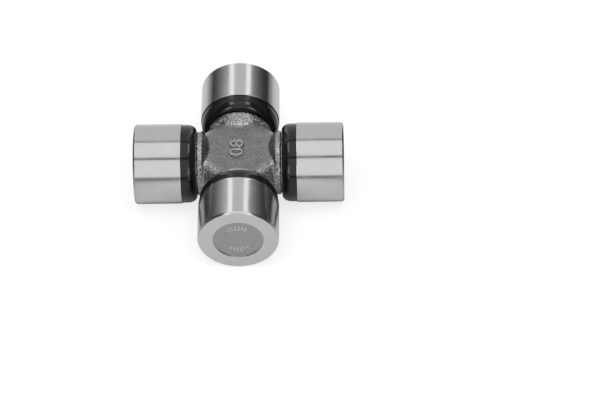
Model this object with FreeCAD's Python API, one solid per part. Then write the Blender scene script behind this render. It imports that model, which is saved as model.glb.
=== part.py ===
import FreeCAD, Part
import math
import os

# Universal joint cross: a forged spider and four sealed needle bearing cups, in millimetres.
# The origin is where the two trunnion axes cross. X and Y run along the arms and Z is up.
# Each arm is drawn along +X and then turned about Z to its own side.

ARMS = {"right": 0, "back": 90, "left": 180, "front": 270}
ORIGIN = FreeCAD.Vector(0, 0, 0)
X_AXIS = FreeCAD.Vector(1, 0, 0)
Z_AXIS = FreeCAD.Vector(0, 0, 1)

# The cross is 76 mm over the closed ends of two opposite cups, and a cup is 29 mm across.
# Both follow from the sizes below, from the trunnion and the crossing outwards.
TRUNNION_D = 18.0            # ground journal that the needles run on
SEAL_CORNER_GAP = 1.3        # between the seals of neighbouring arms, along either arm

# Needle rollers
NEEDLE_D = 2.5
NEEDLE_RUNNING_GAP = 0.02    # radial, between a needle and the trunnion, and again to the race
NEEDLE_END_PLAY = 0.1        # axial, at each end of a needle

# Bearing cup
CUP_WALL = 2.96              # from the race to the ground outside
CUP_LENGTH = 17.1            # from the closed end to the mouth
CUP_BOTTOM = 3.6             # thickness of the closed end
CUP_END_CHAMFER = 0.6        # round the closed end
CUP_RECESS_MARGIN = 5.48     # ring left round the recess in the closed end
CUP_RECESS_DEPTH = 0.4
CUP_LEAD_LENGTH = 1.0        # tapered lead round the mouth
CUP_LEAD_DEPTH = 0.2
RACE_RELIEF_WIDTH = 0.8      # grinding relief at the end of the race
RACE_RELIEF_DEPTH = 0.3

# Thrust washer
WASHER_THICKNESS = 1.6
WASHER_RIM_GAP = 0.2         # radial, inside the race
WASHER_HOLE_D = 6.6
WASHER_GROOVE_COUNT = 6
WASHER_GROOVE_WIDTH = 1.2
WASHER_GROOVE_DEPTH = 0.5
WASHER_END_PLAY = 0.1        # between the washer and the trunnion's end

# Seal
SEAL_LENGTH = 5.4            # from the cup's mouth to the inner face
SEAL_SETBACK = 0.3           # how far the seal's outside lies under the cup's
SEAL_BEVEL_ANGLE = 25.0      # degrees, slope that leads from the outside to the inner face
SEAL_BEVEL_FLAT = 0.04       # what is left of the slope between its two rounds
SEAL_CROWN_ROUND = 5.0       # from the outside to the slope
SEAL_FACE_ROUND = 2.3        # from the slope to the inner face
SEAL_SPIGOT_LENGTH = 1.8     # plugs into the cup and keeps the needles in
SEAL_SPIGOT_STEP = 0.76      # counterbore for the spigot, deeper than the race
SEAL_SPIGOT_GAP = 0.02       # radial, spigot in its counterbore
SEAL_SPIGOT_INSIDE_GAP = 1.0 # radial, from the trunnion to the spigot's bore
SEAL_WEB = 0.9               # thickness of the web behind the outer lip
SEAL_LIP_GAP = 0.1           # radial, from each lip to the land
SEAL_LIP_HEIGHT = 0.8
SEAL_LIP_TIP = 0.35
SEAL_LIP_SLOPE = 0.7
SEAL_FACE_GAP = 0.15         # axial, from the seal's inner face to the flange

# Spider
LAND_STEP = 1.5              # ground seal land, above the trunnion
LAND_RUNOUT = 1.3            # how far the land stops short of the cup's mouth
LAND_CHAMFER = 0.4
TRUNNION_ROOT_ROUND = 1.5
TRUNNION_END_CHAMFER = 0.6
FLANGE_STEP = 1.1            # flange above the seal land
FLANGE_THICKNESS = 2.1
FLANGE_CHAMFER = 0.35        # round the flange's outer face
PAD_HEIGHT = 16.1            # between the upper and the lower pad
RAMP_ANGLE = 55.0            # degrees, from the arm's axis, pad up to flange
CORNER_SETBACK = 0.1         # corner faces under the flange rims, at the parting plane
CORNER_DRAFT = 7.0           # degrees, both ways from the parting plane
CORNER_ROUND = 2.4           # from the corner faces to the pads
RESERVOIR_D = 6.0            # grease reservoir drilled in each trunnion
RESERVOIR_DEPTH = 12.0
RESERVOIR_DRILL_ANGLE = 118.0
RESERVOIR_COUNTERSINK_D = 7.6

# Radii that follow
trunnion_r = TRUNNION_D / 2
needle_r = NEEDLE_D / 2
needle_orbit_r = trunnion_r + NEEDLE_RUNNING_GAP + needle_r
race_r = needle_orbit_r + needle_r + NEEDLE_RUNNING_GAP
cup_r = race_r + CUP_WALL
spigot_bore_r = trunnion_r + SEAL_SPIGOT_INSIDE_GAP
counterbore_r = race_r + SEAL_SPIGOT_STEP
seal_r = cup_r - SEAL_SETBACK
land_r = trunnion_r + LAND_STEP
lip_r = land_r + SEAL_LIP_GAP
flange_r = land_r + FLANGE_STEP

# Stations along an arm that follow, from the crossing outwards
seal_face = seal_r + SEAL_CORNER_GAP
mouth = seal_face + SEAL_LENGTH
closed_end = mouth + CUP_LENGTH
cup_floor = closed_end - CUP_BOTTOM
washer_face = cup_floor - WASHER_THICKNESS
trunnion_end = washer_face - WASHER_END_PLAY
spigot_end = mouth + SEAL_SPIGOT_LENGTH
needle_start = spigot_end + NEEDLE_END_PLAY
needle_length = washer_face - NEEDLE_END_PLAY - needle_start
flange_face = seal_face - SEAL_FACE_GAP
flange_back = flange_face - FLANGE_THICKNESS
land_end = mouth - LAND_RUNOUT
pad_z = PAD_HEIGHT / 2


def rounded_corner(before, corner, after, radius):
    """The arc that rounds one corner, as its start, middle and end."""
    back = (before - corner).normalize()
    on = (after - corner).normalize()
    half_angle = back.getAngle(on) / 2
    reach = radius / math.tan(half_angle)
    inwards = (back + on).normalize()
    centre = corner + inwards * (radius / math.sin(half_angle))
    return corner + back * reach, centre - inwards * radius, corner + on * reach


def turned(corners):
    """The solid that a profile of (along, out, round) corners makes about the X axis."""
    points = [FreeCAD.Vector(along, 0, out) for along, out, radius in corners]
    arcs = []
    for index, corner in enumerate(points):
        radius = corners[index][2]
        following = points[(index + 1) % len(points)]
        if radius > 0:
            arcs.append(rounded_corner(points[index - 1], corner, following, radius))
        else:
            arcs.append((corner, corner, corner))
    edges = []
    for index, (start, middle, end) in enumerate(arcs):
        edges.append(Part.makeLine(arcs[index - 1][2], start))
        if start != end:
            edges.append(Part.Arc(start, middle, end).toShape())
    return Part.Face(Part.Wire(edges)).revolve(ORIGIN, X_AXIS, 360)


def on_arm(shape, turn):
    """A copy of what was drawn along +X, on the arm that lies at this angle."""
    placed = shape.copy()
    placed.rotate(ORIGIN, Z_AXIS, turn)
    return placed


def bearing_cup():
    """A drawn and ground cup: closed outer end, race for the needles, open mouth inwards."""
    recess_r = cup_r - CUP_RECESS_MARGIN
    recess_floor = closed_end - CUP_RECESS_DEPTH
    relief_start = cup_floor - RACE_RELIEF_WIDTH
    relief_r = race_r + RACE_RELIEF_DEPTH
    return turned([
        (cup_floor, 0, 0),
        (recess_floor, 0, 0),
        (recess_floor, recess_r, 0),
        (closed_end, recess_r, 0),
        (closed_end, cup_r - CUP_END_CHAMFER, 0),
        (closed_end - CUP_END_CHAMFER, cup_r, 0),
        (mouth + CUP_LEAD_LENGTH, cup_r, 0),
        (mouth, cup_r - CUP_LEAD_DEPTH, 0),
        (mouth, counterbore_r, 0),
        (spigot_end, counterbore_r, 0),
        (spigot_end, race_r, 0),
        (relief_start, race_r, 0),
        (relief_start, relief_r, 0),
        (cup_floor, relief_r, 0),
    ])


def needle_rollers():
    """A full ring of needles, as many as fit round the trunnion."""
    pitch = 2 * math.asin(needle_r / needle_orbit_r)
    count = math.floor(2 * math.pi / pitch)
    start = FreeCAD.Vector(needle_start, 0, needle_orbit_r)
    needle = Part.makeCylinder(needle_r, needle_length, start, X_AXIS)
    needles = []
    for index in range(count):
        placed = needle.copy()
        placed.rotate(ORIGIN, X_AXIS, 360 * index / count)
        needles.append(placed)
    return Part.makeCompound(needles)


def thrust_washer():
    """A moulded washer on the cup's floor, with radial grease grooves towards the trunnion."""
    rim_r = race_r - WASHER_RIM_GAP
    hole_r = WASHER_HOLE_D / 2
    washer = turned([
        (washer_face, hole_r, 0),
        (washer_face, rim_r, 0),
        (cup_floor, rim_r, 0),
        (cup_floor, hole_r, 0),
    ])
    corner = FreeCAD.Vector(washer_face, -WASHER_GROOVE_WIDTH / 2, 0)
    groove = Part.makeBox(WASHER_GROOVE_DEPTH, WASHER_GROOVE_WIDTH, rim_r, corner)
    for index in range(WASHER_GROOVE_COUNT):
        cutter = groove.copy()
        cutter.rotate(ORIGIN, X_AXIS, 360 * index / WASHER_GROOVE_COUNT)
        washer = washer.cut(cutter)
    return washer


def seal():
    """A rubber ring with two lips towards the land and a spigot pressed into the cup's mouth."""
    valley_r = lip_r + SEAL_LIP_HEIGHT
    outer_lip = seal_face + SEAL_LIP_SLOPE
    outer_valley = outer_lip + SEAL_LIP_TIP + SEAL_LIP_SLOPE
    inner_lip = land_end - LAND_CHAMFER - SEAL_LIP_TIP
    inner_valley = inner_lip - SEAL_LIP_SLOPE
    web_start = mouth - SEAL_WEB
    slope = math.radians(SEAL_BEVEL_ANGLE)
    crown_reach = SEAL_CROWN_ROUND * math.tan(slope / 2)
    face_reach = SEAL_FACE_ROUND * math.tan((math.pi / 2 - slope) / 2)
    bevel = crown_reach + SEAL_BEVEL_FLAT + face_reach
    bevel_start = seal_face + bevel * math.cos(slope)
    bevel_r = seal_r - bevel * math.sin(slope)
    return turned([
        (seal_face, valley_r, 0),
        (outer_lip, lip_r, 0),
        (outer_lip + SEAL_LIP_TIP, lip_r, 0),
        (outer_valley, valley_r, 0),
        (inner_valley, valley_r, 0),
        (inner_lip, lip_r, 0),
        (inner_lip + SEAL_LIP_TIP, lip_r, 0),
        (web_start, valley_r, 0),
        (mouth, spigot_bore_r, 0),
        (spigot_end, spigot_bore_r, 0),
        (spigot_end, counterbore_r - SEAL_SPIGOT_GAP, 0),
        (mouth, counterbore_r - SEAL_SPIGOT_GAP, 0),
        (mouth, seal_r, 0),
        (bevel_start, seal_r, SEAL_CROWN_ROUND),
        (seal_face, bevel_r, SEAL_FACE_ROUND),
    ])


def spider_arm():
    """One arm of the forging: the ramp up from the pad, flange, seal land and trunnion."""
    ramp_run = flange_r / math.tan(math.radians(RAMP_ANGLE))
    return turned([
        (flange_back - ramp_run, 0, 0),
        (flange_back, flange_r, 0),
        (flange_face - FLANGE_CHAMFER, flange_r, 0),
        (flange_face, flange_r - FLANGE_CHAMFER, 0),
        (flange_face, land_r, 0),
        (land_end - LAND_CHAMFER, land_r, 0),
        (land_end, land_r - LAND_CHAMFER, 0),
        (land_end, trunnion_r, TRUNNION_ROOT_ROUND),
        (trunnion_end - TRUNNION_END_CHAMFER, trunnion_r, 0),
        (trunnion_end, trunnion_r - TRUNNION_END_CHAMFER, 0),
        (trunnion_end, 0, 0),
    ])


def hub_half(corner_reach, pad_reach):
    """The upper half of the block between the arms, square to the corners, with rounded pad edges."""
    side = 2 * corner_reach
    low = corner_reach - pad_reach
    high = corner_reach + pad_reach
    half = Part.makeWedge(0, 0, 0, low, low, side, pad_z, side, high, high)
    # The four edges of the pad are the ones whose middles lie at the pad's height.
    edges = [edge for edge in half.Edges if edge.CenterOfMass.y > pad_z * 0.99]
    half = half.makeFillet(CORNER_ROUND, edges)
    half.translate(FreeCAD.Vector(-corner_reach, 0, -corner_reach))
    half.rotate(ORIGIN, X_AXIS, 90)
    half.rotate(ORIGIN, Z_AXIS, 45)
    return half


def spider_hub():
    """The block between the arms: flat pads, and corner faces drafted from the parting plane."""
    corner_reach = (flange_back + flange_r) / math.sqrt(2) - CORNER_SETBACK
    pad_reach = corner_reach - pad_z * math.tan(math.radians(CORNER_DRAFT))
    upper = hub_half(corner_reach, pad_reach)
    lower = upper.copy()
    lower.rotate(ORIGIN, X_AXIS, 180)
    reach = flange_back + FLANGE_THICKNESS / 2
    corner = FreeCAD.Vector(-reach, -reach, -pad_z)
    between_flanges = Part.makeBox(2 * reach, 2 * reach, PAD_HEIGHT, corner)
    return upper.fuse(lower).common(between_flanges)


def reservoir():
    """The drill that leaves a grease reservoir in a trunnion, with its countersink."""
    drill_r = RESERVOIR_D / 2
    sink_r = RESERVOIR_COUNTERSINK_D / 2
    sink_depth = sink_r - drill_r
    bottom = trunnion_end - RESERVOIR_DEPTH
    point = bottom - drill_r / math.tan(math.radians(RESERVOIR_DRILL_ANGLE / 2))
    return turned([
        (point, 0, 0),
        (bottom, drill_r, 0),
        (trunnion_end - sink_depth, drill_r, 0),
        (trunnion_end, sink_r, 0),
        (trunnion_end, 0, 0),
    ])


def spider():
    """The whole forging, with its four ground trunnions."""
    arm = spider_arm()
    body = spider_hub().multiFuse([on_arm(arm, turn) for turn in ARMS.values()])
    body = body.cut([on_arm(reservoir(), turn) for turn in ARMS.values()])
    return body.removeSplitter()


def write(node, shape):
    """One file for each node."""
    shape.exportStep(os.path.join("parts", node + ".step"))


os.makedirs("parts", exist_ok=True)
write("spider", spider())
for side, turn in ARMS.items():
    write(side + "_bearing_cup", on_arm(bearing_cup(), turn))
    write(side + "_needle_rollers", on_arm(needle_rollers(), turn))
    write(side + "_thrust_washer", on_arm(thrust_washer(), turn))
    write(side + "_seal", on_arm(seal(), turn))
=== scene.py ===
import math

import bmesh
import bpy
from mathutils import Matrix, Vector, noise


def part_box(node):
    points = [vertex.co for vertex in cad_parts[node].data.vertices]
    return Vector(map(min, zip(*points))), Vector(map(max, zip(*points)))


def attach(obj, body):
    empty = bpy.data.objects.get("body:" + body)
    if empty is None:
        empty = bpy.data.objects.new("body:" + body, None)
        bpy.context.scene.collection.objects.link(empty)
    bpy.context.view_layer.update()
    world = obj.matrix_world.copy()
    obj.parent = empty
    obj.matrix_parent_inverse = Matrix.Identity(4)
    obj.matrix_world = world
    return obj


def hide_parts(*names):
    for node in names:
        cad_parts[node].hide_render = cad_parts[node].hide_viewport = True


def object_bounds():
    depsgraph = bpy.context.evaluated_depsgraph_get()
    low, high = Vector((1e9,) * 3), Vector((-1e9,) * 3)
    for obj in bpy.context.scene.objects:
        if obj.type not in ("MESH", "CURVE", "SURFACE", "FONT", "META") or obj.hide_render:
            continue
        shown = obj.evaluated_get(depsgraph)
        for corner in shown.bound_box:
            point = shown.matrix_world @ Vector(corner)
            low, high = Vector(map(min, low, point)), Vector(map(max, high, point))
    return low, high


# A universal joint cross: a forged spider and four sealed needle bearing cups, lying on a pale floor.
# Lengths are in metres. Each arm's pieces are drawn along +X and turned about Z to their own side.

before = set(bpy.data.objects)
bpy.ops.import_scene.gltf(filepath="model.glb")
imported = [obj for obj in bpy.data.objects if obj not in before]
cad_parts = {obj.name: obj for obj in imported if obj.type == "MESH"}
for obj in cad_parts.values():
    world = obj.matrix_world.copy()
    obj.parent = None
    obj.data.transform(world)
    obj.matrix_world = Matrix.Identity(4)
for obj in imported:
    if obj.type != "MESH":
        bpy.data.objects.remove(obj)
cad_low, cad_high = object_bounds()

MM = 0.001
ARMS = {"right": 0, "back": 90, "left": 180, "front": 270}

# Sizes read from the frame, on the arm that lies along +X
cup_low, cup_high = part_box("right_bearing_cup")
seal_low, seal_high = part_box("right_seal")
washer_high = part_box("right_thrust_washer")[1]
needle_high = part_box("right_needle_rollers")[1]
spider_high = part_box("spider")[1]
CUP_R = cup_high.z
CLOSED_END = cup_high.x
MOUTH = cup_low.x
SEAL_R = seal_high.y
SEAL_FACE = seal_low.x
SPIGOT_END = seal_high.x
CUP_FLOOR = washer_high.x
TRUNNION_END = spider_high.x
RUNNING_GAP = 0.02 * MM          # between needle and race, needle and trunnion, and round a seal's spigot
NEEDLE_D = 2.5 * MM
RACE_R = needle_high.z + RUNNING_GAP

# Finer sizes of the bearing cup
END_CHAMFER = 0.6 * MM
LEAD_LENGTH = 1.0 * MM
LEAD_DEPTH = 0.05 * MM           # the solid's is 0.2 mm, which showed as a white line at the mouth
LEAD_BEND = 0.2                  # share of the lead where it turns in a little more
RECESS_R = CUP_R - 5.48 * MM
RECESS_DEPTH = 0.4 * MM
RELIEF_WIDTH = 0.8 * MM
RELIEF_DEPTH = 0.3 * MM
SPIGOT_STEP = 0.76 * MM          # counterbore for the seal's spigot, deeper than the race
COUNTERBORE_R = RACE_R + SPIGOT_STEP
MARK_RING_R = 5.4 * MM           # middle of the ring of stamped marks
MARK_LENGTH = 2.2 * MM
MARK_WIDTH = 0.46 * MM
MARK_DEPTH = 0.12 * MM
MARK_SLANT = 9                   # degrees, to either side in turn
MARK_PITCH = 13.2                # degrees between two marks
MARKS_IN_ARC = 7
MARK_ARCS = (10, 190)            # degrees, the middle of each arc of marks
RECESS_SKIN = 0.02 * MM          # how near its floor a face of the recess still counts as flat

# Finer sizes of the spider's ground ends
TRUNNION_R = RACE_R - NEEDLE_D - 2 * RUNNING_GAP
TRUNNION_CHAMFER = 0.6 * MM
ROOT_ROUND = 1.5 * MM            # from the seal land to the trunnion
LAND_STEP = 1.5 * MM             # ground seal land, above the trunnion
LAND_ROUND = 0.4 * MM
LAND_RUNOUT = 1.3 * MM           # how far the land stops short of the cup's mouth
LAND_R = TRUNNION_R + LAND_STEP
LAND_END = MOUTH - LAND_RUNOUT
FLANGE_GAP = 0.15 * MM           # from the flange to the seal's inner face
FLANGE_THICKNESS = 2.1 * MM
FLANGE_FACE = SEAL_FACE - FLANGE_GAP
FLANGE_BACK = FLANGE_FACE - FLANGE_THICKNESS
LAND_IN_FORGING = 1.0 * MM       # how far the ground end reaches into the forging
RESERVOIR_R = 3.0 * MM
RESERVOIR_MOUTH_R = 3.8 * MM
RESERVOIR_DEPTH = 12 * MM
RESERVOIR_TIP = 1.8 * MM         # the cone that the drill's point leaves

# Finer sizes of the forging
PAD_Z = 8.05 * MM
CORNER_START = 11.2 * MM         # out along the diagonal, where the pads begin to roll down
CORNER_ROLL = 5.2 * MM
CORNER_DROP = 0.33               # share of its height that a corner loses
CORNER_FADE = 0.6 * MM           # short of a flange, where the roll fades out
NUMBER_HEIGHT = 5.0 * MM         # raised forging number on the upper pad
NUMBER_STRETCH = 1.25
NUMBER_RISE = 0.5 * MM
NUMBER_ROUND = 0.15 * MM
NUMBER_LEFT = 0.6 * MM
NUMBER_FORWARD = 0.4 * MM
FIGURE_SHARE = 0.72              # a figure's height as a share of its font's size
FORGING_VOXEL = 0.3 * MM
SMOOTHING_PASSES = 14
CUT_MARGIN = 0.05 * MM           # how far past the flange's face the solid is cut
WAVE_LENGTH = 4 * MM
WAVE_DEPTH = 0.07 * MM
PIT_LENGTH = 0.8 * MM
PIT_DEPTH = 0.05 * MM

# Finer sizes of the seal
SEAL_SLOPE = math.radians(25)    # the seal slopes in between two rounds, down to its inner face
SEAL_SLOPE_FLAT = 0.04 * MM
SEAL_CROWN_ROUND = 5.0 * MM
SEAL_FACE_ROUND = 2.3 * MM
SEAL_WEB = 0.9 * MM              # thickness behind the outer lip
SPIGOT_INSIDE_GAP = 1.0 * MM     # from the trunnion to the spigot's bore
LIP_GAP = 0.1 * MM
LIP_HEIGHT = 0.8 * MM
LIP_SLOPE = 0.7 * MM
LIP_TIP = 0.35 * MM
INNER_LIP_SETBACK = 0.75 * MM    # from the end of the land
VALLEY_ROUND = 0.2 * MM

# The picture: 600 by 400, seen from above the front arm with a long lens
PICTURE_WIDTH = 600
FOCAL_PIXELS = 2618.3
CAMERA_DISTANCE = 954.5 * MM
CAMERA_ELEVATION = 46.85         # degrees
CAMERA_TURN = 0.805              # degrees, how far the front arm points to the right of the lens
CAMERA_ROLL = 1.324              # degrees
CROSS_LEFT_OF_MIDDLE = 21.72 * MM
CROSS_ABOVE_MIDDLE = 14.0 * MM


def linear(hex_colour):
    """An sRGB hex colour as linear red, green, blue and alpha."""
    channels = [int(hex_colour[i:i + 2], 16) / 255 for i in (1, 3, 5)]
    return [c / 12.92 if c <= 0.04045 else ((c + 0.055) / 1.055) ** 2.4 for c in channels] + [1.0]


def add(tree, kind, settings=None, inputs=None):
    """Adds a node, sets its properties, and fills or links its inputs by name or number."""
    node = tree.nodes.new(kind)
    for name, value in (settings or {}).items():
        setattr(node, name, value)
    for name, value in (inputs or {}).items():
        if isinstance(value, bpy.types.NodeSocket):
            tree.links.new(value, node.inputs[name])
        else:
            node.inputs[name].default_value = value
    return node


def graded(tree, value, low, high, stops):
    """A grey level that follows a value from low to high through its (value, level) stops: straight between
    them, and even beyond the first and the last."""
    share = add(tree, "ShaderNodeMapRange", {}, {"Value": value, "From Min": low, "From Max": high})
    band = add(tree, "ShaderNodeValToRGB", {}, {"Fac": share.outputs["Result"]})
    elements = band.color_ramp.elements
    while len(elements) < len(stops):
        elements.new(0.5)
    for element, (at, level) in zip(elements, stops):
        element.position = (at - low) / (high - low)
        element.color = (level, level, level, 1)
    return band.outputs["Color"]


def new_material(name):
    """An empty node material, with its tree."""
    material = bpy.data.materials.new(name)
    material.use_nodes = True
    material.node_tree.nodes.clear()
    return material, material.node_tree


def finish_material(tree, shader):
    """Gives the tree its output."""
    add(tree, "ShaderNodeOutputMaterial", inputs={"Surface": shader.outputs[0]})


def ring_coordinates(tree):
    """Coordinates that change fast along the arm and out from its axis, so grinding marks run round it."""
    place = add(tree, "ShaderNodeTexCoord")
    parts = add(tree, "ShaderNodeSeparateXYZ", inputs={"Vector": place.outputs["Object"]})
    across = add(tree, "ShaderNodeCombineXYZ", inputs={"X": parts.outputs["Y"], "Y": parts.outputs["Z"]})
    out = add(tree, "ShaderNodeVectorMath", {"operation": "LENGTH"}, {0: across.outputs["Vector"]})
    spoke = add(tree, "ShaderNodeVectorMath", {"operation": "NORMALIZE"}, {0: across.outputs["Vector"]})
    turn = add(tree, "ShaderNodeVectorMath", {"operation": "SCALE"},
               {0: spoke.outputs["Vector"], "Scale": 0.4 * MM})
    along = add(tree, "ShaderNodeMath", {"operation": "ADD"},
                {0: parts.outputs["X"], 1: out.outputs["Value"]})
    lines = add(tree, "ShaderNodeCombineXYZ", inputs={"X": along.outputs[0]})
    rings = add(tree, "ShaderNodeVectorMath", {"operation": "ADD"},
                {0: lines.outputs["Vector"], 1: turn.outputs["Vector"]})
    return place, rings


def ground_steel(name, colour, smooth, worn):
    """Hardened bearing steel, centreless ground and lightly oiled: bright, with fine marks that run round the
    axis, and faint smears where it was handled."""
    material, tree = new_material(name)
    place, rings = ring_coordinates(tree)
    # Grinding marks are about 0.02 mm apart. They are drawn 0.12 mm apart, or they wouldn't show.
    marks = add(tree, "ShaderNodeTexNoise", {"noise_dimensions": "3D"},
                {"Vector": rings.outputs[0], "Scale": 1 / (0.12 * MM), "Detail": 3.0, "Roughness": 0.6})
    smears = add(tree, "ShaderNodeTexNoise", {"noise_dimensions": "3D"},
                 {"Vector": place.outputs["Object"], "Scale": 1 / (6 * MM), "Detail": 4.0, "Roughness": 0.62})
    gloss = add(tree, "ShaderNodeMapRange", {},
                {"Value": smears.outputs["Fac"], "From Min": 0.35, "From Max": 0.7,
                 "To Min": smooth, "To Max": worn})
    line_gloss = add(tree, "ShaderNodeMapRange", {},
                     {"Value": marks.outputs["Fac"], "From Min": 0.3, "From Max": 0.7,
                      "To Min": -0.025, "To Max": 0.025})
    roughness = add(tree, "ShaderNodeMath", {"operation": "ADD"},
                    {0: gloss.outputs["Result"], 1: line_gloss.outputs["Result"]})
    tone = add(tree, "ShaderNodeMix", {"data_type": "RGBA"},
               {"Factor": smears.outputs["Fac"], "A": linear(colour[0]), "B": linear(colour[1])})
    bump = add(tree, "ShaderNodeBump", {},
               {"Strength": 0.1, "Distance": 0.004 * MM, "Height": marks.outputs["Fac"]})
    steel = add(tree, "ShaderNodeBsdfPrincipled", {},
                {"Base Color": tone.outputs["Result"], "Metallic": 1.0, "Roughness": roughness.outputs[0],
                 "Normal": bump.outputs["Normal"]})
    finish_material(tree, steel)
    return material


def headed_steel():
    """The cup's recessed end, left as the press and the furnace left it: darker, dull and faintly mottled."""
    material, tree = new_material("headed_steel_unground")
    place = add(tree, "ShaderNodeTexCoord")
    # Scale from heat treatment lies in patches of about 1.5 mm, with a 0.2 mm grain.
    patches = add(tree, "ShaderNodeTexNoise", {},
                  {"Vector": place.outputs["Object"], "Scale": 1 / (1.5 * MM), "Detail": 3.0,
                   "Roughness": 0.6})
    grain = add(tree, "ShaderNodeTexNoise", {},
                {"Vector": place.outputs["Object"], "Scale": 1 / (0.2 * MM), "Detail": 2.0, "Roughness": 0.5})
    tone = add(tree, "ShaderNodeMix", {"data_type": "RGBA"},
               {"Factor": patches.outputs["Fac"], "A": linear("#9b9998"), "B": linear("#adabac")})
    bump = add(tree, "ShaderNodeBump", {},
               {"Strength": 0.25, "Distance": 0.02 * MM, "Height": grain.outputs["Fac"]})
    steel = add(tree, "ShaderNodeBsdfPrincipled", {},
                {"Base Color": tone.outputs["Result"], "Metallic": 1.0, "Roughness": 0.42,
                 "Normal": bump.outputs["Normal"]})
    finish_material(tree, steel)
    return material


def moulded_rubber():
    """Nitrile rubber from a polished mould: black with a cool cast, glossy, with a thin film of grease."""
    material, tree = new_material("moulded_nitrile_rubber")
    place = add(tree, "ShaderNodeTexCoord")
    # The skin ripples over about 3 mm, and the grease film is patchy over about 5 mm.
    ripple = add(tree, "ShaderNodeTexNoise", {},
                 {"Vector": place.outputs["Object"], "Scale": 1 / (3 * MM), "Detail": 2.0, "Roughness": 0.5})
    film = add(tree, "ShaderNodeTexNoise", {},
               {"Vector": place.outputs["Object"], "Scale": 1 / (5 * MM), "Detail": 4.0, "Roughness": 0.6})
    gloss = add(tree, "ShaderNodeMapRange", {},
                {"Value": film.outputs["Fac"], "From Min": 0.3, "From Max": 0.7,
                 "To Min": 0.06, "To Max": 0.13})
    tone = add(tree, "ShaderNodeMix", {"data_type": "RGBA"},
               {"Factor": film.outputs["Fac"], "A": linear("#0e0e11"), "B": linear("#18181c")})
    bump = add(tree, "ShaderNodeBump", {},
               {"Strength": 0.3, "Distance": 0.04 * MM, "Height": ripple.outputs["Fac"]})
    rubber = add(tree, "ShaderNodeBsdfPrincipled", {},
                 {"Base Color": tone.outputs["Result"], "Roughness": gloss.outputs["Result"], "IOR": 1.46,
                  "Normal": bump.outputs["Normal"]})
    finish_material(tree, rubber)
    return material


def blasted_forging():
    """Hot forged steel, shot blasted: grey-brown and dull, with a speckle of small bright dents."""
    material, tree = new_material("shot_blasted_forged_steel")
    place = add(tree, "ShaderNodeTexCoord")
    # Shot leaves dents of about 0.7 mm; the colour drifts over about 4 mm where scale was thicker.
    dents = add(tree, "ShaderNodeTexVoronoi", {"feature": "SMOOTH_F1"},
                {"Vector": place.outputs["Object"], "Scale": 1 / (0.7 * MM), "Smoothness": 0.5})
    grain = add(tree, "ShaderNodeTexNoise", {},
                {"Vector": place.outputs["Object"], "Scale": 1 / (0.5 * MM), "Detail": 5.0,
                 "Roughness": 0.75})
    drift = add(tree, "ShaderNodeTexNoise", {},
                {"Vector": place.outputs["Object"], "Scale": 1 / (4 * MM), "Detail": 4.0, "Roughness": 0.6})
    speckle = add(tree, "ShaderNodeMapRange", {},
                  {"Value": grain.outputs["Fac"], "From Min": 0.36, "From Max": 0.64})
    skin = add(tree, "ShaderNodeMix", {"data_type": "RGBA"},
               {"Factor": speckle.outputs["Result"], "A": linear("#747271"), "B": linear("#d3d1d0")})
    scale = add(tree, "ShaderNodeMapRange", {},
                {"Value": drift.outputs["Fac"], "From Min": 0.4, "From Max": 0.7, "To Max": 0.5})
    tone = add(tree, "ShaderNodeMix", {"data_type": "RGBA"},
               {"Factor": scale.outputs["Result"], "A": skin.outputs["Result"], "B": linear("#858280")})
    height = add(tree, "ShaderNodeMath", {"operation": "MULTIPLY_ADD"},
                 {0: grain.outputs["Fac"], 1: 0.6, 2: dents.outputs["Distance"]})
    # The two pads, 8 mm from the middle, were pressed flat by the die: smoother, and coloured darker.
    parts = add(tree, "ShaderNodeSeparateXYZ", inputs={"Vector": place.outputs["Object"]})
    rise = add(tree, "ShaderNodeMath", {"operation": "ABSOLUTE"}, {0: parts.outputs["Z"]})
    pad = graded(tree, rise.outputs[0], 7 * MM, 9 * MM,
                 [(7.5 * MM, 0.0), (7.95 * MM, 1.0), (8.25 * MM, 1.0), (8.5 * MM, 0.0)])
    flat = graded(tree, rise.outputs[0], 7 * MM, 10 * MM,
                  [(7.5 * MM, 0.0), (7.95 * MM, 1.0), (8.8 * MM, 1.0), (9.2 * MM, 0.0)])
    rough_skin = add(tree, "ShaderNodeMapRange", {},
                     {"Value": flat, "To Min": 0.2 * MM, "To Max": 0.13 * MM})
    # On the ramps up to the flanges the blast left bare metal. Elsewhere some scale is left.
    bare = graded(tree, rise.outputs[0], 7 * MM, 10 * MM, [(8.2 * MM, 0.92), (8.8 * MM, 1.0)])
    pressed = add(tree, "ShaderNodeMix", {"data_type": "RGBA", "blend_type": "MULTIPLY"},
                  {"Factor": pad, "A": tone.outputs["Result"], "B": linear("#cbcaca")})
    bump = add(tree, "ShaderNodeBump", {},
               {"Strength": 1.0, "Distance": rough_skin.outputs["Result"], "Height": height.outputs[0]})
    gloss = add(tree, "ShaderNodeMapRange", {},
                {"Value": drift.outputs["Fac"], "From Min": 0.3, "From Max": 0.7,
                 "To Min": 0.2, "To Max": 0.3})
    steel = add(tree, "ShaderNodeBsdfPrincipled", {},
                {"Base Color": pressed.outputs["Result"], "Metallic": bare,
                 "Roughness": gloss.outputs["Result"], "Normal": bump.outputs["Normal"]})
    finish_material(tree, steel)
    return material


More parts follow.
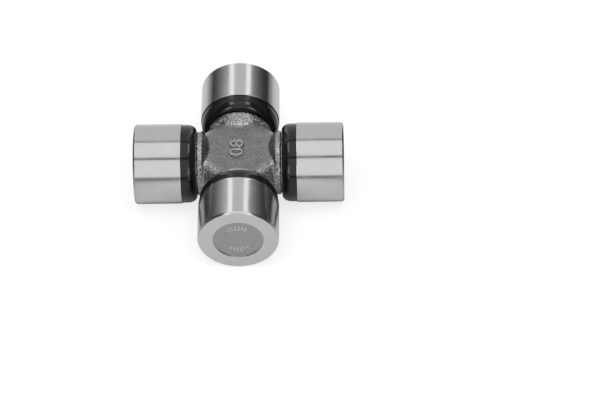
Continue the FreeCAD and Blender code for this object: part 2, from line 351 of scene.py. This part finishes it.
def moulded_nylon():
    """Glass filled nylon, injection moulded: cream, matt, with the fibres just showing at the skin."""
    material, tree = new_material("moulded_nylon")
    place = add(tree, "ShaderNodeTexCoord")
    fibres = add(tree, "ShaderNodeTexNoise", {},
                 {"Vector": place.outputs["Object"], "Scale": 1 / (0.25 * MM), "Detail": 4.0,
                  "Roughness": 0.7})
    tone = add(tree, "ShaderNodeMix", {"data_type": "RGBA"},
               {"Factor": fibres.outputs["Fac"], "A": linear("#cfc4a6"), "B": linear("#e2d9c0")})
    bump = add(tree, "ShaderNodeBump", {},
               {"Strength": 0.2, "Distance": 0.02 * MM, "Height": fibres.outputs["Fac"]})
    nylon = add(tree, "ShaderNodeBsdfPrincipled", {},
                {"Base Color": tone.outputs["Result"], "Roughness": 0.5, "IOR": 1.53,
                 "Normal": bump.outputs["Normal"]})
    finish_material(tree, nylon)
    return material


def rounded(corners, steps=6):
    """The (along, out) points of a closed profile whose (along, out, round) corners are given."""
    points = []
    for index, (along, out, radius) in enumerate(corners):
        corner = Vector((along, out))
        if radius == 0:
            points.append(corner)
            continue
        back = (Vector(corners[index - 1][:2]) - corner).normalized()
        on = (Vector(corners[(index + 1) % len(corners)][:2]) - corner).normalized()
        half_angle = back.angle(on) / 2
        centre = corner + (back + on).normalized() * (radius / math.sin(half_angle))
        first = corner + back * (radius / math.tan(half_angle)) - centre
        last = corner + on * (radius / math.tan(half_angle)) - centre
        sweep = first.angle_signed(last)
        for step in range(steps + 1):
            turn = Matrix.Rotation(-sweep * step / steps, 2)
            points.append(centre + turn @ first)
    return points


def turned(name, points, segments=192):
    """A closed mesh made by turning a closed profile of (along, out) points about the X axis."""
    body = bmesh.new()
    rings = []
    for along, out in points:
        if out < 1e-7:
            rings.append([body.verts.new((along, 0, 0))])
            continue
        angles = [2 * math.pi * i / segments for i in range(segments)]
        rings.append([body.verts.new((along, out * math.sin(a), out * math.cos(a))) for a in angles])
    for here, there in zip(rings, rings[1:] + rings[:1]):
        for i in range(segments):
            j = (i + 1) % segments
            corners = [here[i % len(here)], here[j % len(here)], there[j % len(there)], there[i % len(there)]]
            corners = list(dict.fromkeys(corners))
            if len(corners) > 2:
                body.faces.new(corners)
    bmesh.ops.recalc_face_normals(body, faces=body.faces)
    mesh = bpy.data.meshes.new(name)
    body.to_mesh(mesh)
    body.free()
    return mesh


def smooth(mesh, sharp_from=30):
    """Shades a mesh smooth, apart from its sharp edges."""
    mesh.shade_smooth()
    mesh.set_sharp_from_angle(angle=math.radians(sharp_from))


def set_on_arm(name, mesh, turn, body):
    """Puts a piece that was drawn along +X on its arm, and lets it move with its body."""
    piece = bpy.data.objects.new(name, mesh)
    bpy.context.scene.collection.objects.link(piece)
    piece.matrix_world = Matrix.Rotation(math.radians(turn), 4, "Z")
    flat = piece.modifiers.new("even_normals", "WEIGHTED_NORMAL")
    flat.keep_sharp = True
    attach(piece, body)
    return piece


def evaluated_mesh(piece):
    """The mesh of an object with its modifiers applied."""
    graph = bpy.context.evaluated_depsgraph_get()
    return bpy.data.meshes.new_from_object(piece.evaluated_get(graph))


def cut_or_join(mesh, tool, operation):
    """The mesh with a second mesh taken out of it or joined to it."""
    pieces = [bpy.data.objects.new("boolean", part) for part in (mesh, tool)]
    for piece in pieces:
        bpy.context.scene.collection.objects.link(piece)
    change = pieces[0].modifiers.new("boolean", "BOOLEAN")
    change.operation = operation
    change.object = pieces[1]
    bpy.context.view_layer.update()
    result = evaluated_mesh(pieces[0])
    for piece in pieces:
        bpy.data.objects.remove(piece)
    return result


def mark_cutters():
    """Two arcs of small strokes in zigzag, to be stamped into the recess of a cup."""
    cutters = bmesh.new()
    face = CLOSED_END - RECESS_DEPTH
    for middle in MARK_ARCS:
        for index in range(MARKS_IN_ARC):
            angle = middle + (index - (MARKS_IN_ARC - 1) / 2) * MARK_PITCH
            grown = bmesh.ops.create_cube(cutters, size=1)["verts"]
            size = Matrix.Diagonal((2 * MARK_DEPTH, MARK_WIDTH, MARK_LENGTH, 1))
            spot = Matrix.Rotation(math.radians(angle), 4, "X") @ Matrix.Translation((face, 0, MARK_RING_R))
            slant = Matrix.Rotation(math.radians(MARK_SLANT * (-1) ** index), 4, "X")
            bmesh.ops.transform(cutters, matrix=spot @ slant @ size, verts=grown)
    mesh = bpy.data.meshes.new("mark_cutters")
    cutters.to_mesh(mesh)
    cutters.free()
    return mesh


def cup_mesh(ground, headed):
    """The bearing cup, with its race, its chamfers and the stamped recess in its closed end."""
    recess_floor = CLOSED_END - RECESS_DEPTH
    relief_start = CUP_FLOOR - RELIEF_WIDTH
    mesh = turned("bearing_cup", rounded([
        (CUP_FLOOR, 0, 0),
        (recess_floor, 0, 0),
        (recess_floor, RECESS_R, 0.1 * MM),
        (CLOSED_END, RECESS_R, 0.08 * MM),
        (CLOSED_END, CUP_R - END_CHAMFER, 0.1 * MM),
        (CLOSED_END - END_CHAMFER, CUP_R, 0.1 * MM),
        (MOUTH + LEAD_LENGTH, CUP_R, 0),
        (MOUTH + LEAD_BEND * LEAD_LENGTH, CUP_R - (1 - LEAD_BEND) * LEAD_DEPTH, 0),
        (MOUTH, CUP_R - LEAD_DEPTH, 0.06 * MM),
        (MOUTH, COUNTERBORE_R, 0),
        (SPIGOT_END, COUNTERBORE_R, 0),
        (SPIGOT_END, RACE_R, 0),
        (relief_start, RACE_R, 0),
        (relief_start, RACE_R + RELIEF_DEPTH, 0),
        (CUP_FLOOR, RACE_R + RELIEF_DEPTH, 0),
    ], steps=3))
    stamped = cut_or_join(mesh, mark_cutters(), "DIFFERENCE")
    stamped.materials.clear()
    stamped.materials.append(ground)
    stamped.materials.append(headed)
    # Only the flat of the recess keeps its dull skin. The marks take the bright ground steel as a painted
    # highlight, for the light that catches their walls.
    for face in stamped.polygons:
        middle = face.center
        inside = math.hypot(middle.y, middle.z) < RECESS_R
        face.material_index = 1 if inside and abs(middle.x - recess_floor) < RECESS_SKIN else 0
    smooth(stamped)
    return stamped


def seal_mesh(rubber):
    """The seal ring: round shoulder towards the flange, two lips on the land, spigot in the cup's mouth."""
    lip_r = LAND_R + LIP_GAP
    valley_r = lip_r + LIP_HEIGHT
    inner_lip = LAND_END - INNER_LIP_SETBACK
    spigot_bore_r = TRUNNION_R + SPIGOT_INSIDE_GAP
    spigot_r = COUNTERBORE_R - RUNNING_GAP
    crown_reach = SEAL_CROWN_ROUND * math.tan(SEAL_SLOPE / 2)
    face_reach = SEAL_FACE_ROUND * math.tan((math.pi / 2 - SEAL_SLOPE) / 2)
    slope = crown_reach + SEAL_SLOPE_FLAT + face_reach
    mesh = turned("seal", rounded([
        (SEAL_FACE, valley_r, VALLEY_ROUND),
        (SEAL_FACE + LIP_SLOPE, lip_r, 0),
        (SEAL_FACE + LIP_SLOPE + LIP_TIP, lip_r, 0),
        (SEAL_FACE + 2 * LIP_SLOPE + LIP_TIP, valley_r, VALLEY_ROUND),
        (inner_lip - LIP_SLOPE, valley_r, VALLEY_ROUND),
        (inner_lip, lip_r, 0),
        (inner_lip + LIP_TIP, lip_r, 0),
        (MOUTH - SEAL_WEB, valley_r, VALLEY_ROUND),
        (MOUTH, spigot_bore_r, 0),
        (SPIGOT_END, spigot_bore_r, 0.2 * MM),
        (SPIGOT_END, spigot_r, 0),
        (MOUTH, spigot_r, 0),
        (MOUTH, SEAL_R, 0.15 * MM),
        (SEAL_FACE + slope * math.cos(SEAL_SLOPE), SEAL_R, SEAL_CROWN_ROUND),
        (SEAL_FACE, SEAL_R - slope * math.sin(SEAL_SLOPE), SEAL_FACE_ROUND),
    ], steps=10))
    mesh.materials.append(rubber)
    smooth(mesh, 40)
    return mesh


def trunnion_mesh(journal):
    """The ground end of one arm: seal land, root round, trunnion, and the grease reservoir in its end."""
    start = FLANGE_FACE - LAND_IN_FORGING
    drilled_to = TRUNNION_END - RESERVOIR_DEPTH
    mesh = turned("trunnion", rounded([
        (start, 0, 0),
        (start, LAND_R, 0),
        (LAND_END, LAND_R, LAND_ROUND),
        (LAND_END, TRUNNION_R, ROOT_ROUND),
        (TRUNNION_END - TRUNNION_CHAMFER, TRUNNION_R, 0.2 * MM),
        (TRUNNION_END, TRUNNION_R - TRUNNION_CHAMFER, 0.2 * MM),
        (TRUNNION_END, RESERVOIR_MOUTH_R, 0),
        (TRUNNION_END - RESERVOIR_MOUTH_R + RESERVOIR_R, RESERVOIR_R, 0),
        (drilled_to, RESERVOIR_R, 0),
        (drilled_to - RESERVOIR_TIP, 0, 0),
    ]), segments=128)
    mesh.materials.append(journal)
    smooth(mesh)
    return mesh


def forging_blank():
    """The forged middle of the spider, cut from the frame's solid at the four flange faces."""
    body = bmesh.new()
    body.from_mesh(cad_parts["spider"].data)
    bmesh.ops.remove_doubles(body, verts=body.verts, dist=0.001 * MM)
    for turn in ARMS.values():
        way = Matrix.Rotation(math.radians(turn), 3, "Z") @ Vector((1, 0, 0))
        geometry = body.verts[:] + body.edges[:] + body.faces[:]
        cut = bmesh.ops.bisect_plane(body, geom=geometry, plane_co=way * (FLANGE_FACE + CUT_MARGIN),
                                     plane_no=way, clear_outer=True)
        rim = [part for part in cut["geom_cut"] if isinstance(part, bmesh.types.BMEdge)]
        bmesh.ops.contextual_create(body, geom=rim)
    mesh = bpy.data.meshes.new("forging_blank")
    body.to_mesh(mesh)
    body.free()
    return mesh


def number_mesh():
    """A plain raised number on the upper pad, turned a quarter so that it reads towards the back arm."""
    curve = bpy.data.curves.new("number", "FONT")
    curve.body = "08"
    curve.size = NUMBER_HEIGHT / FIGURE_SHARE
    curve.align_x = "CENTER"
    curve.align_y = "CENTER"
    curve.extrude = NUMBER_RISE
    curve.bevel_depth = NUMBER_ROUND
    curve.bevel_resolution = 1
    curve.resolution_u = 6
    text = bpy.data.objects.new("number", curve)
    bpy.context.scene.collection.objects.link(text)
    bpy.context.view_layer.update()
    mesh = evaluated_mesh(text)
    bpy.data.objects.remove(text)
    stretch = Matrix.Diagonal((NUMBER_STRETCH, 1, 1, 1))
    upright = Matrix.Rotation(math.radians(90), 4, "Z")
    seat = Matrix.Translation((-NUMBER_LEFT, -NUMBER_FORWARD, PAD_Z))
    mesh.transform(seat @ upright @ stretch)
    return mesh


def remeshed(mesh, voxel, passes):
    """The mesh rebuilt from voxels of one size and smoothed, which blends its corners."""
    piece = bpy.data.objects.new("remesh", mesh)
    bpy.context.scene.collection.objects.link(piece)
    remesh = piece.modifiers.new("voxels", "REMESH")
    remesh.mode = "VOXEL"
    remesh.voxel_size = voxel
    soften = piece.modifiers.new("soften", "SMOOTH")
    soften.factor = 0.5
    soften.iterations = passes
    bpy.context.view_layer.update()
    result = evaluated_mesh(piece)
    bpy.data.objects.remove(piece)
    return result


def roughened(mesh):
    """Gives a forging its slight waves and pits, out along its normals."""
    places = []
    for vertex in mesh.vertices:
        waves = noise.noise(vertex.co / WAVE_LENGTH) * WAVE_DEPTH
        pits = noise.fractal(vertex.co / PIT_LENGTH, 0.8, 2.0, 3) * PIT_DEPTH
        places.extend(vertex.co + vertex.normal * (waves + pits))
    mesh.vertices.foreach_set("co", places)
    mesh.update()


def rolled_corners(mesh):
    """Rolls the forging's four corners down from the pads to the parting line, short of the flanges."""
    for vertex in mesh.vertices:
        across, along = sorted((abs(vertex.co.x), abs(vertex.co.y)))
        out = ((across + along) / math.sqrt(2) - CORNER_START) / CORNER_ROLL
        inside = (FLANGE_BACK - along) / CORNER_FADE
        share = min(max(out, 0), 1) ** 2 * min(max(inside, 0), 1)
        vertex.co.z *= 1 - CORNER_DROP * share
    mesh.update()


def forging_mesh(steel):
    """The forged middle of the spider, with blended corners, a raised number and a blasted skin."""
    blank = remeshed(forging_blank(), FORGING_VOXEL, SMOOTHING_PASSES)
    rolled_corners(blank)
    roughened(blank)
    mesh = cut_or_join(blank, number_mesh(), "UNION")
    mesh.name = "spider_forging"
    mesh.materials.clear()
    mesh.materials.append(steel)
    mesh.shade_smooth()
    return mesh


def studio_floor():
    """A white sheet. The camera sees it white with a soft shadow. Metal sees a sheet that is lit near the
    cross and gets darker away from it."""
    material, tree = new_material("white_paper_sheet")
    path = add(tree, "ShaderNodeLightPath")
    place = add(tree, "ShaderNodeTexCoord")
    parts = add(tree, "ShaderNodeSeparateXYZ", inputs={"Vector": place.outputs["Object"]})
    aside = add(tree, "ShaderNodeMath", {"operation": "ABSOLUTE"}, {0: parts.outputs["X"]})
    away = add(tree, "ShaderNodeMath", {"operation": "MULTIPLY_ADD"},
               {0: parts.outputs["Y"], 1: -0.12, 2: aside.outputs[0]})
    fall = graded(tree, away.outputs[0], 0, 0.4, [(0.035, 0.78), (0.08, 0.4), (0.18, 0.27), (0.4, 0.2)])
    # Close under the two arms that point sideways the sheet is nearly hidden from the light.
    depth = add(tree, "ShaderNodeMath", {"operation": "ABSOLUTE"}, {0: parts.outputs["Y"]})
    under = graded(tree, depth.outputs[0], 0, 0.04, [(0.006, 0.35), (0.013, 1.0)])
    beside = graded(tree, aside.outputs[0], 0, 0.04, [(0.017, 0.0), (0.023, 1.0)])
    sheltered = add(tree, "ShaderNodeMix", {"data_type": "RGBA", "blend_type": "MULTIPLY"},
                    {"Factor": beside, "A": fall, "B": under})
    lit = add(tree, "ShaderNodeBsdfDiffuse", inputs={"Color": sheltered.outputs["Result"]})
    shade = add(tree, "ShaderNodeBsdfDiffuse", inputs={"Color": (0.28, 0.28, 0.28, 1)})
    glow = add(tree, "ShaderNodeEmission", inputs={"Color": (1, 1, 1, 1), "Strength": 0.76})
    seen = add(tree, "ShaderNodeAddShader", inputs={0: shade.outputs[0], 1: glow.outputs[0]})
    both = add(tree, "ShaderNodeMixShader",
               inputs={0: path.outputs["Is Camera Ray"], 1: lit.outputs[0], 2: seen.outputs[0]})
    finish_material(tree, both)
    mesh = bpy.data.meshes.new("sheet")
    half = 6.0
    corners = [(-half, -half, 0), (half, -half, 0), (half, half, 0), (-half, half, 0)]
    mesh.from_pydata(corners, [], [(0, 1, 2, 3)])
    mesh.materials.append(material)
    sheet = bpy.data.objects.new("sheet", mesh)
    sheet.location.z = cad_low.z - 0.02 * MM
    bpy.context.scene.collection.objects.link(sheet)


def studio_world():
    """A white room. Glossy metal sees two large softboxes overhead and in front with thin gaps between them,
    a pale wall behind between two bright strips, and darkness low down to the sides."""
    world = bpy.data.worlds.new("soft_studio")
    world.use_nodes = True
    world.cycles.sampling_method = "NONE"
    tree = world.node_tree
    tree.nodes.clear()
    way = add(tree, "ShaderNodeTexCoord")
    parts = add(tree, "ShaderNodeSeparateXYZ", inputs={"Vector": way.outputs["Generated"]})
    forward = add(tree, "ShaderNodeMath", {"operation": "MULTIPLY"}, {0: parts.outputs["Y"], 1: -1.0})
    lean = add(tree, "ShaderNodeMath", {"operation": "ARCTAN2"},
               {0: forward.outputs[0], 1: parts.outputs["Z"]})
    degrees = add(tree, "ShaderNodeMath", {"operation": "DEGREES"}, {0: lean.outputs[0]})
    aside = add(tree, "ShaderNodeMath", {"operation": "ABSOLUTE"}, {0: parts.outputs["X"]})
    azimuth = add(tree, "ShaderNodeMath", {"operation": "ARCTAN2"},
                  {0: aside.outputs[0], 1: parts.outputs["Y"]})
    azimuth_degrees = add(tree, "ShaderNodeMath", {"operation": "DEGREES"}, {0: azimuth.outputs[0]})
    sideways = add(tree, "ShaderNodeMath", {"operation": "ARCSINE"}, {0: aside.outputs[0]})
    sideways_degrees = add(tree, "ShaderNodeMath", {"operation": "DEGREES"}, {0: sideways.outputs[0]})
    # Levels are quartered in the ramps, and made four times stronger at the end, to reach above white.
    boxes = graded(tree, degrees.outputs[0], -180, 180, [
        (-27.5, 0.195), (-26, 0.055), (-22, 0.055), (-20.5, 0.255),
        (25.5, 0.255), (27, 0.02), (31.5, 0.02), (33, 0.255),
        (82.5, 0.25), (84.5, 0.055), (90, 0.055), (91.5, 0.195)])
    strips = graded(tree, degrees.outputs[0], -180, 180, [
        (-21, 0.1), (-19, 1.0), (8, 1.0), (16, 0.1), (33, 0.1), (36, 0.25), (54, 0.25), (60, 1.0), (84, 1.0),
        (88, 0.05)])
    in_strip = graded(tree, sideways_degrees.outputs[0], 0, 90, [
        (15.0, 0.0), (16.5, 1.0), (24.0, 1.0), (26.0, 0.0)])
    beyond = graded(tree, sideways_degrees.outputs[0], 0, 90, [(26.0, 0.0), (30.0, 1.0)])
    lit = add(tree, "ShaderNodeMix", {"data_type": "RGBA"}, {"Factor": in_strip, "A": boxes, "B": strips})
    sides = graded(tree, parts.outputs["Y"], -1, 1, [(-0.6, 0.015), (-0.35, 0.03), (0.15, 0.05), (0.4, 0.01)])
    above = add(tree, "ShaderNodeMix", {"data_type": "RGBA"},
                {"Factor": beyond, "A": lit.outputs["Result"], "B": sides})
    wall = graded(tree, azimuth_degrees.outputs[0], 0, 90, [
        (0, 0.18), (16, 0.18), (17, 0.34), (26, 0.34), (28, 0.16), (40, 0.15)])
    low_dark = graded(tree, parts.outputs["Z"], 0, 1, [
        (0.08, 0.014), (0.26, 0.029), (0.41, 0.056), (0.53, 0.094), (0.65, 0.15), (1.0, 0.2)])
    # The room is a little lighter on the left.
    left_lighter = add(tree, "ShaderNodeMapRange", {},
                       {"Value": parts.outputs["X"], "From Min": -0.7, "From Max": 0.7,
                        "To Min": 1.35, "To Max": 0.65})
    dark = add(tree, "ShaderNodeVectorMath", {"operation": "SCALE"},
               {0: low_dark, "Scale": left_lighter.outputs["Result"]})
    beyond_strips = graded(tree, azimuth_degrees.outputs[0], 0, 180, [
        (27.0, 0.0), (29.0, 1.0), (110, 1.0), (130, 0.0)])
    behind = graded(tree, degrees.outputs[0], -180, 180, [(-27.5, 1.0), (-26, 0.0)])
    back = add(tree, "ShaderNodeMix", {"data_type": "RGBA"},
               {"Factor": beyond_strips, "A": wall, "B": dark.outputs["Vector"]})
    room = add(tree, "ShaderNodeMix", {"data_type": "RGBA"},
               {"Factor": behind, "A": above.outputs["Result"], "B": back.outputs["Result"]})
    path = add(tree, "ShaderNodeLightPath")
    strong = add(tree, "ShaderNodeBackground", {}, {"Color": room.outputs["Result"], "Strength": 4.0})
    even = add(tree, "ShaderNodeBackground", {}, {"Color": (1, 1, 1, 1), "Strength": 0.62})
    white = add(tree, "ShaderNodeBackground", {}, {"Color": (1, 1, 1, 1), "Strength": 1.0})
    lights = add(tree, "ShaderNodeMixShader",
                 inputs={0: path.outputs["Is Glossy Ray"], 1: even.outputs[0], 2: strong.outputs[0]})
    seen = add(tree, "ShaderNodeMixShader",
               inputs={0: path.outputs["Is Camera Ray"], 1: lights.outputs[0], 2: white.outputs[0]})
    add(tree, "ShaderNodeOutputWorld", inputs={"Surface": seen.outputs[0]})
    bpy.context.scene.world = world


def studio_lamp():
    """One broad soft lamp, overhead and a little in front. Metal doesn't see it: it sees the room's boxes."""
    lamp = bpy.data.lights.new("softbox", "AREA")
    lamp.shape = "SQUARE"
    lamp.size = 1.1
    lamp.energy = 9.0
    holder = bpy.data.objects.new("softbox", lamp)
    overhead = Vector((0, -0.45, 1.2))
    holder.location = overhead
    holder.rotation_euler = overhead.to_track_quat("Z", "Y").to_euler()
    holder.visible_glossy = False
    bpy.context.scene.collection.objects.link(holder)


def camera():
    """A long lens from above the front arm; the cross lies left of the picture's middle and above it."""
    lens = bpy.data.cameras.new("camera")
    lens.sensor_width = 36
    lens.lens = FOCAL_PIXELS / PICTURE_WIDTH * lens.sensor_width
    lens.clip_start = 0.05
    lens.clip_end = 30
    eye = bpy.data.objects.new("camera", lens)
    tilt = Matrix.Rotation(math.radians(90 - CAMERA_ELEVATION), 4, "X")
    turn = Matrix.Rotation(math.radians(CAMERA_TURN), 4, "Z")
    level = turn @ tilt
    aim = level @ Vector((CROSS_LEFT_OF_MIDDLE, -CROSS_ABOVE_MIDDLE, CAMERA_DISTANCE))
    eye.matrix_world = Matrix.Translation(aim) @ level @ Matrix.Rotation(math.radians(-CAMERA_ROLL), 4, "Z")
    bpy.context.scene.collection.objects.link(eye)
    bpy.context.scene.camera = eye


camera()
studio_floor()
studio_world()
studio_lamp()

ground = ground_steel("ground_bearing_steel", ("#c6c6c9", "#d0cfd2"), 0.12, 0.2)
journal = ground_steel("ground_journal_steel", ("#b9b9bc", "#c6c5c8"), 0.16, 0.26)
needle_steel = ground_steel("lapped_needle_steel", ("#cdcdd0", "#d8d8da"), 0.08, 0.12)
headed = headed_steel()
rubber = moulded_rubber()
forged = blasted_forging()
nylon = moulded_nylon()

cup_shape = cup_mesh(ground, headed)
seal_shape = seal_mesh(rubber)
trunnion_shape = trunnion_mesh(journal)
for side, turn in ARMS.items():
    cup = set_on_arm(side + "_cup_shell", cup_shape, turn, side + "_cup")
    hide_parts(side + "_bearing_cup")
    ring = set_on_arm(side + "_seal_ring", seal_shape, turn, side + "_cup")
    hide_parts(side + "_seal")
    set_on_arm(side + "_trunnion", trunnion_shape, turn, "spider")
    for node, material in (("needle_rollers", needle_steel), ("thrust_washer", nylon)):
        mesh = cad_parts[side + "_" + node].data
        mesh.materials.clear()
        mesh.materials.append(material)

forging = bpy.data.objects.new("spider_forging", forging_mesh(forged))
bpy.context.scene.collection.objects.link(forging)
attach(forging, "spider")
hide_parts("spider")

bpy.context.scene.view_settings.view_transform = "Standard"
